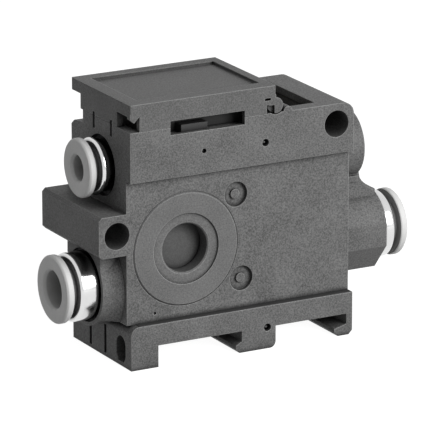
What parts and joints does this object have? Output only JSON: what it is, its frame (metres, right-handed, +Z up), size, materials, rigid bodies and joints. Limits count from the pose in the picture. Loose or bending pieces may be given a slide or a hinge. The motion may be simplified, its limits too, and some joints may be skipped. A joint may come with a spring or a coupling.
{
  "type": "directional control valve",
  "caption": "Rail-mounted pneumatic directional valve module with push-in tube fittings on both ends, a supply gallery through its side and a hinged lid over its pilot unit.",
  "frame": {"origin": "middle of the block in length and depth, on the plane of the soles of the three rail feet; it lies on the sole of the middle foot", "axes": "+X along the module from the two-port end to the one-port end, +Y from the front panel with the gallery insert to the back panel (the stacking direction), +Z up"},
  "size_m": [0.0636, 0.0224, 0.0444],
  "materials": {
    "housing_plastic": "dark grey glass-filled plastic, fine grain",
    "lid_plastic": "dark grey plastic, fine grain",
    "insert_plastic": "dark grey plastic, smooth",
    "ring_plastic": "light grey plastic, satin",
    "nickel_brass": "nickel-plated brass, polished",
    "collet_steel": "stainless steel",
    "spool_metal": "turned, satin",
    "screw_steel": "zinc-plated steel",
    "contact_brass": "plated contacts",
    "seal_rubber": "black nitrile rubber",
    "button_plastic": "light grey plastic",
    "collet_plastic": "black acetal"
  },
  "bodies": {
    "housing": {"rail_base": "housing_plastic", "valve_body": "housing_plastic", "hinge_pin": "screw_steel", "gallery_insert": "insert_plastic", "insert_seal": "seal_rubber", "gallery_seal": "seal_rubber", "pilot_end_cap": "housing_plastic", "return_spring": "collet_steel", "base_screws": "screw_steel", "pilot_unit": "insert_plastic", "contact_pins": "contact_brass", "lower_left_sleeve": "nickel_brass", "lower_left_tube_seal": "seal_rubber", "right_sleeve": "nickel_brass", "right_tube_seal": "seal_rubber", "upper_left_sleeve": "nickel_brass", "upper_left_tube_seal": "seal_rubber", "gallery_blank": "insert_plastic"},
    "lid": {"top_cover": "lid_plastic"},
    "spool_group": {"spool": "spool_metal", "spool_seals": "seal_rubber", "pilot_piston": "insert_plastic", "piston_seal": "seal_rubber"},
    "override": {"override_button": "button_plastic"},
    "lower_left_release": {"lower_left_release_ring": "ring_plastic", "lower_left_collet": "collet_plastic", "lower_left_chuck": "collet_steel"},
    "right_release": {"right_release_ring": "ring_plastic", "right_collet": "collet_plastic", "right_chuck": "collet_steel"},
    "upper_left_release": {"upper_left_release_ring": "ring_plastic", "upper_left_collet": "collet_plastic", "upper_left_chuck": "collet_steel"}
  },
  "joints": [
    {"name": "lid_hinge", "type": "hinge", "parent": "housing", "child": "lid", "pos_m": [0.006, 0, 0.04103], "axis": [0, 1, 0], "range_deg": [0, 90]},
    {"name": "spool_slide", "type": "slide", "parent": "housing", "child": "spool_group", "axis": [-1, 0, 0], "range_m": [0, 0.0015], "stiffness_N_per_m": 300, "springref_m": -0.002, "deforming": ["return_spring"]},
    {"name": "override_press", "type": "slide", "parent": "housing", "child": "override", "axis": [0, 0, -1], "range_m": [0, 0.0007], "stiffness_N_per_m": 200, "springref_m": -0.001},
    {"name": "lower_left_ring_press", "type": "slide", "parent": "housing", "child": "lower_left_release", "axis": [1, 0, 0], "range_m": [0, 0.0009], "stiffness_N_per_m": 300, "springref_m": -0.001},
    {"name": "right_ring_press", "type": "slide", "parent": "housing", "child": "right_release", "axis": [-1, 0, 0], "range_m": [0, 0.0009], "stiffness_N_per_m": 300, "springref_m": -0.001},
    {"name": "upper_left_ring_press", "type": "slide", "parent": "housing", "child": "upper_left_release", "axis": [1, 0, 0], "range_m": [0, 0.0009], "stiffness_N_per_m": 300, "springref_m": -0.001}
  ]
}
